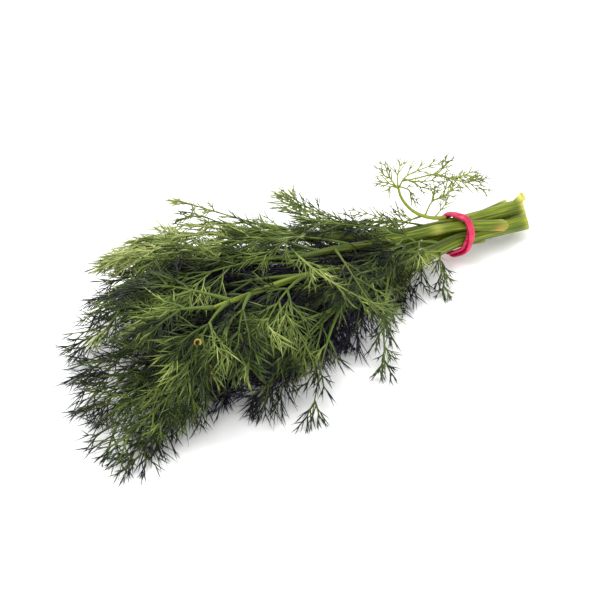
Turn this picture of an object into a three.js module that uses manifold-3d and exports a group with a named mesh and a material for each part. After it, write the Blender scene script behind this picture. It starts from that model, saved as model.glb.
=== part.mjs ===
// A small bunch of fresh dill lying on a surface, tied with one doubled rubber band.
// Millimetres, +Z up. The stems run along X through the band near x = 0: the cut ends point
// to +X and the leaves fill the heap on the -X side. The surface under the bunch is z = 0.
import * as THREE from "three";
import { mergeVertices } from "three/addons/utils/BufferGeometryUtils.js";
import Module from "manifold-3d";

const wasm = await Module();
wasm.setup();

// ---- driving dimensions -------------------------------------------------------------

const BAND_AT = -5.5; // where the band ties the bundle
const BUNDLE_HEIGHT = 13.2; // middle of the tied bundle above the surface
const CLEARANCE = 0.3; // least gap between pieces
const BAND_CLEARANCE = 0.5; // gap between the stems and the band
const LEAF_SEAT = 0.45; // gap between a stem and the foot of its leaf

// Each stem: diameter, place in the bundle at the band [y, z from its middle], the cut end
// [x, y, z] and the way it takes through the leaves, as points [x, y, z].
const STEMS = [
  { d: 7, tied: [-3.4, -2], cut: [35.2, -4.3, 7.9], way: [[-50, -8, 10], [-90, -15, 17], [-118, -21, 22]] },
  { d: 5.2, tied: [-2, 5.2], cut: [16.6, -7.9, 14.8], way: [[-45, 0, 23], [-72, -3, 31], [-92, -8, 38]] },
  {
    d: 2.2,
    tied: [-5.5, 2.7],
    cut: [0.3, -6, 14.7],
    way: [[-40, -12, 19], [-72, -24, 24], [-92, -33, 25]],
  },
  { d: 4, tied: [2.1, -1.6], cut: [40, 4.3, 7.4], way: [[-50, -2, 16], [-104, -21, 39], [-147, -30, 47]] },
  { d: 6.4, tied: [3.1, 3.4], cut: [36.2, 0.8, 14.6], way: [[-45, 9, 20], [-82, 19, 29], [-108, 28, 33]] },
  {
    d: 3.6,
    tied: [6.2, -0.8],
    cut: [31.5, 7.2, 13.4],
    way: [[-45, 12, 11], [-82, 24, 15], [-110, 35, 17]],
  },
  { d: 3.8, tied: [1, -5.2], cut: [33, 1.4, 3.2], way: [[-60, 1, 6], [-105, -3, 8], [-145, -9, 9]] },
  { d: 2.8, tied: [4.3, -4.5], cut: [24, 6, 2.4], way: [[-50, 12, 4], [-88, 20, 5], [-122, 27, 7]] },
  { d: 2, tied: [-2, -6.3], cut: [12, -2.4, 4.6], way: [[-50, -9, 3.6], [-84, -18, 4], [-112, -27, 5]] },
];
const STEM_SIDES = 10;
const STEM_STEPS = 11;
const STEM_RODS = 24; // straight stretches of a stem when pieces are kept clear of each other
const STEM_LEAF_END = 0.55; // thickness where the leaves end it, as a share of the cut end's

// Each leaf: how far along its stem it grows, measured from the band, its tip x, y, z, how
// high its stalk arches over the straight way to that tip, and its breadth (1 is common).
const LEAVES = [
  [
    [15, -26, -24, 3, 5, 0.15],
    [46, -100, -32, 5, 12, 0.4],
    [56, -122, -34, 5, 5, 0.5],
    [76, -146, -34, 12, 14, 0.45],
    [90, -165, -32, 22, 14, 0.5],
    [118, -198, -34, 5, 14, 0.6],
  ],
  [
    [60, -118, 8, 44, 10, 0.8],
    [72, -83, -51, 34, 10, 0.5],
    [80, -116, 50, 35, 2, 0.35],
    [86, -148, 26, 42, 4, 0.9],
    [92, -178, 2, 34, 12, 0.6],
  ],
  [
    [50, -82.5, -60, 2, 12, 0.2],
    [50, -94, -27, 30, 8, 0.7],
    [84, -122.5, -66, 2, 10, 0.3],
    [72, -137, -48, 8, 10, 0.5],
    [90, -140, -40, 28, 6, 0.5],
  ],
  [
    [96, -132, -45, 40, 6, 0.6],
    [126, -148, -53, 36, 8, 0.9],
    [138, -166, -48, 38, 6, 0.9],
    [136, -162, 6, 42, 6, 0.8],
    [146, -170, -16, 42, 4, 1],
  ],
  [
    [26, -56, 20, 23, 5, 0.6],
    [56, -73, 33, 36, -3, 0.6],
    [66, -105, 35, 28, 8, 0.6],
    [86, -138, 42, 33, 5, 0.7],
    [106, -153, 42, 32, 6, 0.8],
  ],
  [
    [34, -54, 26, 18, 5, 0.5],
    [54, -93, 30, 27, 6, 0.7],
    [72, -125, 44, 16, 6, 0.8],
    [88, -154, 45, 26, 8, 0.7],
    [108, -166, 34, 18, 8, 0.8],
  ],
  [
    [64, -128, -22, 2, 3, 0.6],
    [84, -156, 12, 2, 3, 0.9],
    [102, -184, -42, 2, 3, 0.4],
    [122, -187, 12, 4, 4, 0.7],
    [145, -194, -14, 3, 3, 0.8],
  ],
  [
    [42, -68, 41, 2, 4, 0.8],
    [62, -106, 46, 2, 4, 0.7],
    [84, -135, 42, 2, 3, 0.8],
    [122, -183, 22, 8, 4, 0.9],
  ],
  [
    [40, -84, -31, 2, 3, 0.2],
    [58, -112, -29, 2, 3, 0.5],
    [76, -148, -29, 2, 3, 0.4],
    [114, -198, -46, 2, 4, 0.2],
  ],
];
const LEAF_STALK = 1.3; // radius of a leaf's stalk where it leaves the stem
const BEND_AT = 0.4; // where a stalk bends, as a share of the way to its tip
const STALK_LEAD = 0.12; // how far it first follows its stem, as a share of the same way
const LEAF_TIP = 0.45; // radius of the stalk at its tip
const END_THREAD = 5; // how far the leaf's end threads carry the stalk past the tip
const LEAST_HEIGHT = 1; // of a leaf's end above the surface
const SIDE_BAR = 0.5; // radius of a side branch
const STALK_SIDES = 4;
const STALK_STEPS = 6;
const SIDE_SIDES = 4;
const SIDE_LEAST = 9; // what every side branch has beyond its share of the stalk's length
// Pairs of side branches: place along the stalk and length as a share of the stalk's length.
const PAIRS = [[0.38, 0.34], [0.6, 0.25], [0.82, 0.1]];
const PAIR_ANGLE = 48; // degrees between a side branch and the stalk
const SWINGS = [0, 6, -6, 12, -12, 20, -20, 28]; // degrees, tried in this order
const RISES = [0, 0.12, -0.12, 0.24, 0.4, 0.6]; // shares of the length, tried in this order
const SIDE_DROOP = 0.2; // how far a side branch's tip sinks, as a share of its length
const FLANK_TILT = 0.0004; // how a leaf leans over the heap's flank, per mm out and per mm up

// The small sprig that curls up beside the band, from stem 2: its stalk and branches.
const SPRIG_STALK = [
  [-8.5, 3, 21.7],
  [-14, 3, 23.3],
  [-21, 3, 27],
  [-28, 3, 33],
  [-34, 3, 42],
  [-36, 3, 49],
];
const SPRIG_BRANCHES = [
  [[-36, 3, 47], [-40, 2, 53], [-42, 1, 56], [-46.5, -1, 65.5]],
  [[-36, 3, 48], [-40, 5, 50], [-44, 7, 51]],
  [[-36, 3, 48], [-34, 6, 53], [-30, 9, 56]],
  [[-35.5, 3, 47], [-33, 2, 52.5], [-24, 0, 55.5], [-16, -1, 56]],
  [[-34, 2.5, 50.5], [-29, 0, 51.5], [-20, -3, 52.5], [-12, -4, 48], [1, -6, 41], [6, -7, 37]],
  [[-20, -3, 52.5], [-17, -2, 52.5], [-11, 0, 55.5]],
  [[-12.5, -4, 48.5], [-7, -3, 46.5], [2, -1, 45.5]],
  [[-35.5, 3, 48], [-28, 5, 42], [-26, 6, 37], [-23, 7, 33]],
  [[-33, 2, 51.5], [-27, 3, 47], [-22.5, 4, 42.5], [-14, 5, 38]],
  [[-20, 3, 26.6], [-15, 5, 31.5], [-8, 6, 31.5], [3, 8, 33]],
  [[-15, 5, 31.5], [-13.5, 6, 36], [-11.5, 7, 38]],
  [[-8, 6, 31.5], [-8, 5, 36], [-7.5, 4, 42]],
  [[-20.5, 3, 27], [-27, 5, 26], [-33, 7, 32]],
];
const SPRIG_FOOT = 0.7; // radius of the sprig's stalk at its foot

// The rubber band: an oval strand wound twice round the stems, its two turns crossing.
const STRAND_WIDTH = 3.2;
const STRAND_THICKNESS = 1.4;
const BAND_STEPS = 80;
const STRAND_SIDES = 8;
const CROSSING_AT = 185 * THREE.MathUtils.DEG2RAD;
const BAND_SLANT = 0.35; // how far its near side leads to the cut ends, per mm of width
const BAND_LEAN = 0.3; // how far its top leads to the cut ends, per mm of height

const STEM_COLOUR = 0x8fa84a;
const LEAF_COLOUR = 0x4f6f2c;
const BAND_COLOUR = 0xd81e55;

// ---- solids along a curve -----------------------------------------------------------

// Bends a closed cylinder along the curve, with the radius that radiusAt gives at each share.
function taperedTube(curve, radiusAt, sides, steps) {
  const tube = new THREE.CylinderGeometry(1, 1, 1, sides, steps);
  const frames = curve.computeFrenetFrames(steps, false);
  const place = tube.getAttribute("position");
  const spine = curve.getSpacedPoints(steps);
  for (let i = 0; i < place.count; i += 1) {
    const step = Math.round((place.getY(i) + 0.5) * steps);
    const radius = radiusAt(step / steps);
    const point = spine[step].clone();
    point.addScaledVector(frames.normals[step], place.getX(i) * radius);
    point.addScaledVector(frames.binormals[step], place.getZ(i) * radius);
    place.setXYZ(i, point.x, point.y, point.z);
  }
  return closedBody(tube);
}

// Leaves only merged positions, with the faces pointing out.
function closedBody(geometry) {
  geometry.deleteAttribute("normal");
  geometry.deleteAttribute("uv");
  const body = mergeVertices(geometry, 1e-4);
  if (signedVolume(body) < 0) {
    const corners = body.index.array;
    for (let i = 0; i < corners.length; i += 3) {
      [corners[i], corners[i + 1]] = [corners[i + 1], corners[i]];
    }
  }
  return body;
}

function signedVolume(body) {
  const place = body.getAttribute("position");
  const [a, b, c] = [new THREE.Vector3(), new THREE.Vector3(), new THREE.Vector3()];
  let volume = 0;
  for (let i = 0; i < body.index.count; i += 3) {
    a.fromBufferAttribute(place, body.index.getX(i));
    b.fromBufferAttribute(place, body.index.getX(i + 1));
    c.fromBufferAttribute(place, body.index.getX(i + 2));
    volume += a.dot(b.cross(c)) / 6;
  }
  return volume;
}

function joined(bodies) {
  let whole = null;
  for (const body of bodies) {
    const vertProperties = new Float32Array(body.getAttribute("position").array);
    const triVerts = new Uint32Array(body.index.array);
    const solid = new wasm.Manifold(new wasm.Mesh({ numProp: 3, vertProperties, triVerts }));
    whole = whole ? whole.add(solid) : solid;
  }
  const mesh = whole.getMesh();
  const geometry = new THREE.BufferGeometry();
  geometry.setAttribute("position", new THREE.BufferAttribute(mesh.vertProperties, 3));
  geometry.setIndex(new THREE.BufferAttribute(mesh.triVerts, 1));
  return geometry;
}

function piece(name, geometry, colour, roughness) {
  geometry.computeVertexNormals();
  const material = new THREE.MeshStandardMaterial({ color: colour, roughness, metalness: 0 });
  const mesh = new THREE.Mesh(geometry, material);
  mesh.name = name;
  return mesh;
}

// ---- keeping pieces clear of each other ---------------------------------------------

// A rod is a straight stretch of a stem or leaf: from, to and its radius.
const rods = [];

function distanceBetween(one, two) {
  const u = new THREE.Vector3().subVectors(one.to, one.from);
  const v = new THREE.Vector3().subVectors(two.to, two.from);
  const w = new THREE.Vector3().subVectors(one.from, two.from);
  const [a, b, c, d, e] = [u.dot(u), u.dot(v), v.dot(v), u.dot(w), v.dot(w)];
  const flat = a * c - b * b;
  const clamp = THREE.MathUtils.clamp;
  let s = flat > 1e-9 ? clamp((b * e - c * d) / flat, 0, 1) : 0;
  const t = clamp((b * s + e) / c, 0, 1);
  s = clamp((b * t - d) / a, 0, 1);
  return w.addScaledVector(u, s).addScaledVector(v, -t).length();
}

function isClear(rod) {
  return rods.every((other) => {
    const need = rod.radius + other.radius + CLEARANCE;
    return other.owner === rod.owner || distanceBetween(rod, other) > need;
  });
}

function rodsAlong(curve, radiusAt, steps, owner) {
  const spine = curve.getSpacedPoints(steps);
  return spine.slice(1).map((to, i) => ({ from: spine[i], to, radius: radiusAt(i / steps), owner }));
}

// ---- stems --------------------------------------------------------------------------

function stemCurve(stem) {
  const tied = new THREE.Vector3(BAND_AT, stem.tied[0], BUNDLE_HEIGHT + stem.tied[1]);
  const way = stem.way.map((p) => new THREE.Vector3(...p));
  const points = [new THREE.Vector3(...stem.cut), tied, ...way];
  return new THREE.CatmullRomCurve3(points, false, "centripetal");
}

function stemRadius(stem) {
  return (share) => (stem.d / 2) * THREE.MathUtils.lerp(1, STEM_LEAF_END, share);
}

// ---- leaves -------------------------------------------------------------------------

// The point of the stem that lies this far from the band, with the stem's direction there.
function leafBase(curve, fromBand) {
  let share = 0;
  while (share < 1 && curve.getPointAt(share).x > -fromBand) share += 0.005;
  share = Math.min(share, 1);
  return { share, point: curve.getPointAt(share), along: curve.getTangentAt(share) };
}

// The leaf's stalk: it leaves beside the stem, runs along it, then bends over to its tip.
function leafStalk(base, stemSurface, tip, arch) {
  const outward = new THREE.Vector3().subVectors(tip, base.point);
  outward.z += arch;
  outward.addScaledVector(base.along, -outward.dot(base.along)).normalize();
  const start = base.point.clone().addScaledVector(outward, stemSurface + LEAF_STALK + LEAF_SEAT);
  const middle = start.clone().lerp(tip, BEND_AT);
  middle.addScaledVector(base.along, STALK_LEAD * tip.distanceTo(base.point));
  middle.z += arch;
  const end = tip.clone().sub(middle).setLength(END_THREAD).add(tip);
  end.z = Math.max(end.z, LEAST_HEIGHT);
  return new THREE.QuadraticBezierCurve3(start, middle, end);
}

const stalkRadius = (share) => THREE.MathUtils.lerp(LEAF_STALK, LEAF_TIP, share);

// The way a leaf's face looks: up, and leaning out over the heap's flanks.
function heapFacing(point) {
  return new THREE.Vector3(0, FLANK_TILT * point.y * point.z, 1);
}

// A side branch of the stalk, on one side, sinking a little under its weight. It swings and
// rises by the least that keeps it clear of the pieces that are already there.
function sideBranch(name, stalk, share, length, side) {
  const from = stalk.getPointAt(share);
  const along = stalk.getTangentAt(share);
  const flat = heapFacing(from).cross(along).normalize();
  for (const swing of SWINGS) {
    for (const rise of RISES) {
      const angle = (PAIR_ANGLE + swing) * THREE.MathUtils.DEG2RAD;
      const to = from.clone().addScaledVector(along, Math.cos(angle) * length);
      to.addScaledVector(flat, side * Math.sin(angle) * length);
      to.z = Math.max(to.z + (rise - SIDE_DROOP) * length, SIDE_BAR);
      const rod = { from, to, radius: SIDE_BAR, owner: name };
      if (isClear(rod)) {
        rods.push(rod);
        return rod;
      }
    }
  }
  return null;
}

function leafPiece({ name, stalk, breadth }) {
  const bars = [taperedTube(stalk, stalkRadius, STALK_SIDES, STALK_STEPS)];
  for (const [share, part] of PAIRS) {
    for (const side of [1, -1]) {
      const length = SIDE_LEAST + part * stalk.getLength() * breadth;
      const rod = sideBranch(name, stalk, share, length, side);
      if (rod) {
        const line = new THREE.LineCurve3(rod.from, rod.to);
        bars.push(taperedTube(line, () => SIDE_BAR, SIDE_SIDES, 1));
      }
    }
  }
  return piece(name, joined(bars), LEAF_COLOUR, 0.6);
}

function sprig(name) {
  const bars = [SPRIG_STALK, ...SPRIG_BRANCHES].map((points, i) => {
    const curve = new THREE.CatmullRomCurve3(points.map((p) => new THREE.Vector3(...p)));
    const thick = i === 0 ? SPRIG_FOOT : SIDE_BAR;
    const radiusAt = (share) => THREE.MathUtils.lerp(thick, LEAF_TIP, share);
    const steps = points.length + 1;
    rods.push(...rodsAlong(curve, radiusAt, steps, name));
    return taperedTube(curve, radiusAt, STALK_SIDES, steps);
  });
  return piece(name, joined(bars), LEAF_COLOUR, 0.6);
}

// ---- the rubber band ----------------------------------------------------------------

function bandGeometry() {
  const loop = new THREE.TorusGeometry(1, 0.1, STRAND_SIDES, BAND_STEPS);
  const place = loop.getAttribute("position");
  for (let i = 0; i < place.count; i += 1) {
    const turn = ((i % (BAND_STEPS + 1)) / BAND_STEPS) * 4 * Math.PI;
    const round = (Math.floor(i / (BAND_STEPS + 1)) / STRAND_SIDES) * 2 * Math.PI;
    const point = strandPoint(turn, round);
    place.setXYZ(i, point.x, point.y, point.z);
  }
  return closedBody(loop);
}

// A point on the strand's skin: turn goes twice round the bundle, round goes round the strand.
function strandPoint(turn, round) {
  const width = STRAND_WIDTH / 2 + CLEARANCE / 2;
  const thickness = STRAND_THICKNESS / 2 + CLEARANCE / 2;
  const angle = CROSSING_AT + turn;
  const way = turn / 2;
  const over = 2 * thickness * Math.max(0, Math.cos(way));
  const out = new THREE.Vector3(0, Math.cos(angle), Math.sin(angle));
  const skin = wrapPoint(out, BAND_CLEARANCE + STRAND_THICKNESS / 2 + over);
  const lean = BAND_LEAN * (skin.z - BUNDLE_HEIGHT) - BAND_SLANT * Math.min(skin.y, 0);
  const point = new THREE.Vector3(BAND_AT + lean + width * Math.sin(way), skin.y, skin.z);
  point.x += (Math.cos(round) * STRAND_WIDTH) / 2;
  return point.addScaledVector(out, (Math.sin(round) * STRAND_THICKNESS) / 2);
}

// The tight wrap round all stems, at this distance outside the one that sticks out most.
function wrapPoint(out, distance) {
  let most = -Infinity;
  let best = null;
  for (const stem of STEMS) {
    const middle = new THREE.Vector3(BAND_AT, stem.tied[0], BUNDLE_HEIGHT + stem.tied[1]);
    const reach = middle.dot(out) + stem.d / 2;
    if (reach > most) {
      most = reach;
      best = middle.addScaledVector(out, stem.d / 2 + distance);
    }
  }
  return best;
}

// ---- the bunch ----------------------------------------------------------------------

const bunch = new THREE.Group();
const stemCurves = STEMS.map(stemCurve);

STEMS.forEach((stem, i) => {
  const name = `stem_${i + 1}`;
  rods.push(...rodsAlong(stemCurves[i], stemRadius(stem), STEM_RODS, name));
  const body = taperedTube(stemCurves[i], stemRadius(stem), STEM_SIDES, STEM_STEPS);
  bunch.add(piece(name, body, STEM_COLOUR, 0.45));
});
bunch.add(piece("rubber_band", bandGeometry(), BAND_COLOUR, 0.4));

bunch.add(sprig("sprig"));

// All stalks come before any side branch, because the branches make way for them.
const leaves = [];
LEAVES.forEach((rows, i) => {
  rows.forEach(([fromBand, x, y, z, arch, breadth], k) => {
    const name = `stem_${i + 1}_leaf_${k + 1}`;
    const base = leafBase(stemCurves[i], fromBand);
    const stemSurface = stemRadius(STEMS[i])(base.share);
    const stalk = leafStalk(base, stemSurface, new THREE.Vector3(x, y, z), arch);
    rods.push(...rodsAlong(stalk, stalkRadius, STALK_STEPS, name));
    leaves.push({ name, stalk, breadth });
  });
});
for (const leaf of leaves) bunch.add(leafPiece(leaf));

// The origin goes to the middle of the bunch's footprint, on the surface.
const box = new THREE.Box3().setFromObject(bunch);
bunch.position.set(-(box.min.x + box.max.x) / 2, -(box.min.y + box.max.y) / 2, -box.min.z);

const part = new THREE.Group();
part.add(bunch);

export default part;
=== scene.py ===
import math
from collections import namedtuple

import bmesh
import bpy
import numpy as np
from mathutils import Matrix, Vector


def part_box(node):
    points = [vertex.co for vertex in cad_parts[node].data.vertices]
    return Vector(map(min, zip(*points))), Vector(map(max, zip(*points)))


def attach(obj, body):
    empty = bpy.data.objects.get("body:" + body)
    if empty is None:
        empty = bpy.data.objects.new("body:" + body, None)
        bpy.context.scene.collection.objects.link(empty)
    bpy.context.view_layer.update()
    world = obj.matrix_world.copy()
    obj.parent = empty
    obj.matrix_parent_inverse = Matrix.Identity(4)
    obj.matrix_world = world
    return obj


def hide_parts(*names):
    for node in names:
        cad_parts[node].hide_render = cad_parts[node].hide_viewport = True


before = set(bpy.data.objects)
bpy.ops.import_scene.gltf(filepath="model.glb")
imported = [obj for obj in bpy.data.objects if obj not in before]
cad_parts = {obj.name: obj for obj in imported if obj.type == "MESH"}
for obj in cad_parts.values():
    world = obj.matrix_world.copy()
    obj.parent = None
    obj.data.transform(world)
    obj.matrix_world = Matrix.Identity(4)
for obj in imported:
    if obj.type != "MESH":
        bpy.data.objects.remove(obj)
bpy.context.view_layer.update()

MM = 0.001

# ---- driving dimensions, as in the CAD source ----

BAND_AT = -5.5  # where the band ties the bundle
BUNDLE_HEIGHT = 13.2  # middle of the tied bundle above the surface
BAND_CLEARANCE = 0.5  # gap between the stems and the CAD band
STRAND_WIDTH = 3.2
STRAND_THICKNESS = 1.4
STRAND_GAP = 0.3  # between the strand's two turns
CROSSING_AT = math.radians(185)  # where round the bundle the two turns cross
BAND_SLANT = 0.35  # how far its near side leads to the cut ends, per mm of width
BAND_LEAN = 0.3  # how far its top leads to the cut ends, per mm of height
CAD_BAND_STEPS = 80  # along the CAD band's two turns
CAD_STRAND_SIDES = 8
STEM_LEAF_END = 0.55  # a stem's thickness where the leaves end it, as a share of the cut end's
BEND_AT = 0.4  # where a leaf's stalk bends, as a share of the way to its tip
STALK_LEAD = 0.12  # how far it first follows its stem, as a share of the same way
FLANK_TILT = 0.0004  # how a leaf leans over the heap's flank, per mm out and per mm up

# Each stem: diameter, place in the bundle at the band, cut end, and its way through the leaves.
STEMS = [
    (7.0, (-3.4, -2), (35.2, -4.3, 7.9), [(-50, -8, 10), (-90, -15, 17), (-118, -21, 22)]),
    (5.2, (-2, 5.2), (16.6, -7.9, 14.8), [(-45, 0, 23), (-72, -3, 31), (-92, -8, 38)]),
    (2.2, (-5.5, 2.7), (0.3, -6, 14.7), [(-40, -12, 19), (-72, -24, 24), (-92, -33, 25)]),
    (4.0, (2.1, -1.6), (40, 4.3, 7.4), [(-50, -2, 16), (-104, -21, 39), (-147, -30, 47)]),
    (6.4, (3.1, 3.4), (36.2, 0.8, 14.6), [(-45, 9, 20), (-82, 19, 29), (-108, 28, 33)]),
    (3.6, (6.2, -0.8), (31.5, 7.2, 13.4), [(-45, 12, 11), (-82, 24, 15), (-110, 35, 17)]),
    (3.8, (1, -5.2), (33, 1.4, 3.2), [(-60, 1, 6), (-105, -3, 8), (-145, -9, 9)]),
    (2.8, (4.3, -4.5), (24, 6, 2.4), [(-50, 12, 4), (-88, 20, 5), (-122, 27, 7)]),
    (2.0, (-2, -6.3), (12, -2.4, 4.6), [(-50, -9, 3.6), (-84, -18, 4), (-112, -27, 5)]),
]

# Each leaf: distance of its foot from the band, tip x, y, z, arch of its stalk, breadth.
LEAVES = [
    [
        (15, -26, -24, 3, 5, 0.15), (46, -100, -32, 5, 12, 0.4), (56, -122, -34, 5, 5, 0.5),
        (76, -146, -34, 12, 14, 0.45), (90, -165, -32, 22, 14, 0.5), (118, -198, -34, 5, 14, 0.6),
    ],
    [
        (60, -118, 8, 44, 10, 0.8), (72, -83, -51, 34, 10, 0.5), (80, -116, 50, 35, 2, 0.35),
        (86, -148, 26, 42, 4, 0.9), (92, -178, 2, 34, 12, 0.6),
    ],
    [
        (50, -82.5, -60, 2, 12, 0.2), (50, -94, -27, 30, 8, 0.7), (84, -122.5, -66, 2, 10, 0.3),
        (72, -137, -48, 8, 10, 0.5), (90, -140, -40, 28, 6, 0.5),
    ],
    [
        (96, -132, -45, 40, 6, 0.6), (126, -148, -53, 36, 8, 0.9), (138, -166, -48, 38, 6, 0.9),
        (136, -162, 6, 42, 6, 0.8), (146, -170, -16, 42, 4, 1.0),
    ],
    [
        (26, -56, 20, 23, 5, 0.6), (56, -73, 33, 36, -3, 0.6), (66, -105, 35, 28, 8, 0.6),
        (86, -138, 42, 33, 5, 0.7), (106, -153, 42, 32, 6, 0.8),
    ],
    [
        (34, -54, 26, 18, 5, 0.5), (54, -93, 30, 27, 6, 0.7), (72, -125, 44, 16, 6, 0.8),
        (88, -154, 45, 26, 8, 0.7), (108, -166, 34, 18, 8, 0.8),
    ],
    [
        (64, -128, -22, 2, 3, 0.6), (84, -156, 12, 2, 3, 0.9), (102, -184, -42, 2, 3, 0.4),
        (122, -187, 12, 4, 4, 0.7), (145, -194, -14, 3, 3, 0.8),
    ],
    [
        (42, -68, 41, 2, 4, 0.8), (62, -106, 46, 2, 4, 0.7), (84, -135, 42, 2, 3, 0.8),
        (122, -183, 22, 8, 4, 0.9),
    ],
    [
        (40, -84, -31, 2, 3, 0.2), (58, -112, -29, 2, 3, 0.5), (76, -148, -29, 2, 3, 0.4),
        (114, -198, -46, 2, 4, 0.2),
    ],
]

# Small fronds between the leaves: stem, then the same values as for a leaf.
FRONDS = [
    (3, 28, -69, -16, 12, 8, 0.6), (3, 20, -48, -13, 10, 8, 0.5), (5, 14, -43, 11, 26, 5, 0.4),
    (2, 28, -76, 12, 37, 6, 0.6), (9, 20, -67, -17, 3, 5, 0.35), (9, 16, -46, -16, 3, 5, 0.5),
    (1, 110, -199, -46, 8, 8, 0.4), (7, 138, -195, -54, 3, 5, 0.5),
    (7, 130, -195, -12, 10, 8, 0.8), (3, 50, -97, -30, 10, 8, 0.7), (3, 30, -72, -15, 26, 8, 0.8),
    (3, 18, -52, -12, 26, 8, 0.8), (4, 16, -58, -2, 17, 3, 0.6), (4, 22, -66, 8, 22, 3, 0.7),
    (5, 80, -121, 50, 43, 2, 0.2), (5, 42, -72, 37, 36, 0, 0.25), (3, 84, -139, -48, 3, 6, 0.3),
    (6, 104, -148, 46, 26, 8, 0.6), (6, 100, -158, 40, 30, 8, 0.55),
]

# Fronds deep inside the heap, darkened with painted shade.
INNER_FRONDS = [
    (7, 26, -62, -3, 4, 4, 0.6), (7, 36, -80, -4, 4, 4, 0.7), (7, 48, -95, 0, 5, 4, 1.0),
    (7, 60, -110, 10, 4, 4, 1.0), (7, 72, -122, -6, 4, 4, 0.6), (7, 84, -142, 0, 4, 4, 1.0),
    (7, 112, -166, -6, 4, 4, 0.6), (8, 26, -62, 14, 5, 4, 0.8), (8, 40, -78, 22, 5, 4, 0.9),
    (8, 54, -98, 26, 5, 4, 1.0), (8, 70, -118, 30, 5, 4, 1.0), (8, 90, -142, 24, 5, 4, 1.0),
    (4, 40, -84, 4, 24, 5, 0.8), (4, 56, -100, -12, 24, 5, 1.0), (4, 72, -120, 16, 28, 5, 1.0),
    (4, 84, -126, -6, 26, 5, 1.0), (4, 96, -144, 6, 28, 5, 1.0), (4, 108, -150, -14, 28, 5, 1.0),
    (6, 60, -104, 30, 16, 5, 0.9), (6, 80, -130, 34, 18, 5, 0.9), (1, 70, -118, -24, 14, 6, 0.6),
    (2, 108, -162, 20, 30, 8, 0.7), (6, 96, -160, 22, 26, 8, 0.7), (4, 12, -46, 6, 18, 3, 0.6),
]

# Leaves with painted shade beyond that of their place in the heap: stem, leaf and how much.
SHADED = {(2, 2): 0.55, (1, 1): 0.15, (6, 5): 0.25, (2, 5): 0.1}

# Leaves whose stalks twist freely: points of the stalk, thickness, breadth and tone.
LOOSE_LEAVES = [
    (
        [(-36, -1, 20.5), (-44, -6, 22), (-48, -14, 20), (-56, -23, 16), (-64, -30, 12)]
        + [(-72, -43, 7), (-76, -51, 5)],
        0.9, 0.12, 0.0,
    ),
    ([(-36, -1, 20.5), (-44, -5, 22), (-53, 5, 24)], 0.8, 0.5, 0.1),
    ([(-88, 8, 31), (-99, -22, 46.5), (-97, -32, 45), (-85, -42, 36), (-73, -46, 27)], 0.42, 0.2, 0.06),
]

# Wilted threads that dried on the heap: the points they curl through and the thickness.
DRY_BITS = [
    (
        [(-159.7, -44.2, 43.9), (-158.9, -43.8, 44.9), (-159.4, -42.8, 45.6)]
        + [(-160.6, -42.4, 45.3), (-161.3, -43.0, 44.2), (-160.7, -44.0, 43.4)],
        0.5,
    ),
    ([(-156.5, -46, 33.5), (-156, -46.5, 29), (-154.5, -47, 24), (-153, -46.5, 19)], 0.45),
]

# The sprig that curls up beside the band: its stalk and the branches that the CAD has.
SPRIG_STALK = [(-8.5, 3, 21.7), (-14, 3, 23.3), (-21, 3, 27), (-28, 3, 33), (-34, 3, 42), (-36, 3, 49)]
SPRIG_BRANCHES = [
    [(-36, 3, 47), (-40, 2, 53), (-42, 1, 56), (-46.5, -1, 65.5)],
    [(-36, 3, 48), (-40, 5, 50), (-44, 7, 51)],
    [(-36, 3, 48), (-34, 6, 53), (-30, 9, 56)],
    [(-35.5, 3, 47), (-33, 2, 52.5), (-24, 0, 55.5), (-16, -1, 56)],
    [(-34, 2.5, 50.5), (-29, 0, 51.5), (-20, -3, 52.5), (-12, -4, 48), (1, -6, 41), (6, -7, 37)],
    [(-20, -3, 52.5), (-17, -2, 52.5), (-11, 0, 55.5)],
    [(-12.5, -4, 48.5), (-7, -3, 46.5), (2, -1, 45.5)],
    [(-35.5, 3, 48), (-28, 5, 42), (-26, 6, 37), (-23, 7, 33)],
    [(-33, 2, 51.5), (-27, 3, 47), (-22.5, 4, 42.5), (-14, 5, 38)],
    [(-20, 3, 26.6), (-15, 5, 31.5), (-8, 6, 31.5), (3, 8, 33)],
    [(-15, 5, 31.5), (-13.5, 6, 36), (-11.5, 7, 38)],
    [(-8, 6, 31.5), (-8, 5, 36), (-7.5, 4, 42)],
    [(-20.5, 3, 27), (-27, 5, 26), (-33, 7, 32)],
]
# Its finer twigs.
SPRIG_TWIGS = [
    [(-40.5, 2, 54.5), (-44.5, 1, 57.5), (-48.5, 0, 63.5)],
    [(-37, 3, 48), (-40.5, 2, 50), (-44, 0, 50)],
    [(-29, 2, 49), (-25, 1, 48), (-18, 0, 47)],
    [(-15, 3, 23.4), (-12.5, 3, 25.5), (-6.5, 4, 29.5)],
    [(-5.5, 6, 32), (-1.5, 8, 33.5), (0, 9, 34.5)],
    [(-22.5, 3, 27.5), (-29, 6, 25), (-38.5, 8, 28.5), (-45.5, 10, 32.5), (-51.5, 12, 34.5)],
    [(-12, -4, 48), (-5, -4.5, 47.5), (4, -5, 43)],
    [(-4, -5, 44), (1, -4, 43), (7, -4, 41)],
]

# ---- curves ----

SHORTEST = 1e-9  # keeps a direction of no length from dividing by nothing
LINE_STEPS = 40  # fine steps between two given points, before a line is cut into equal ones


def unit(v):
    """The direction of each vector, one long."""
    return v / np.maximum(np.linalg.norm(v, axis=-1, keepdims=True), SHORTEST)


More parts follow.
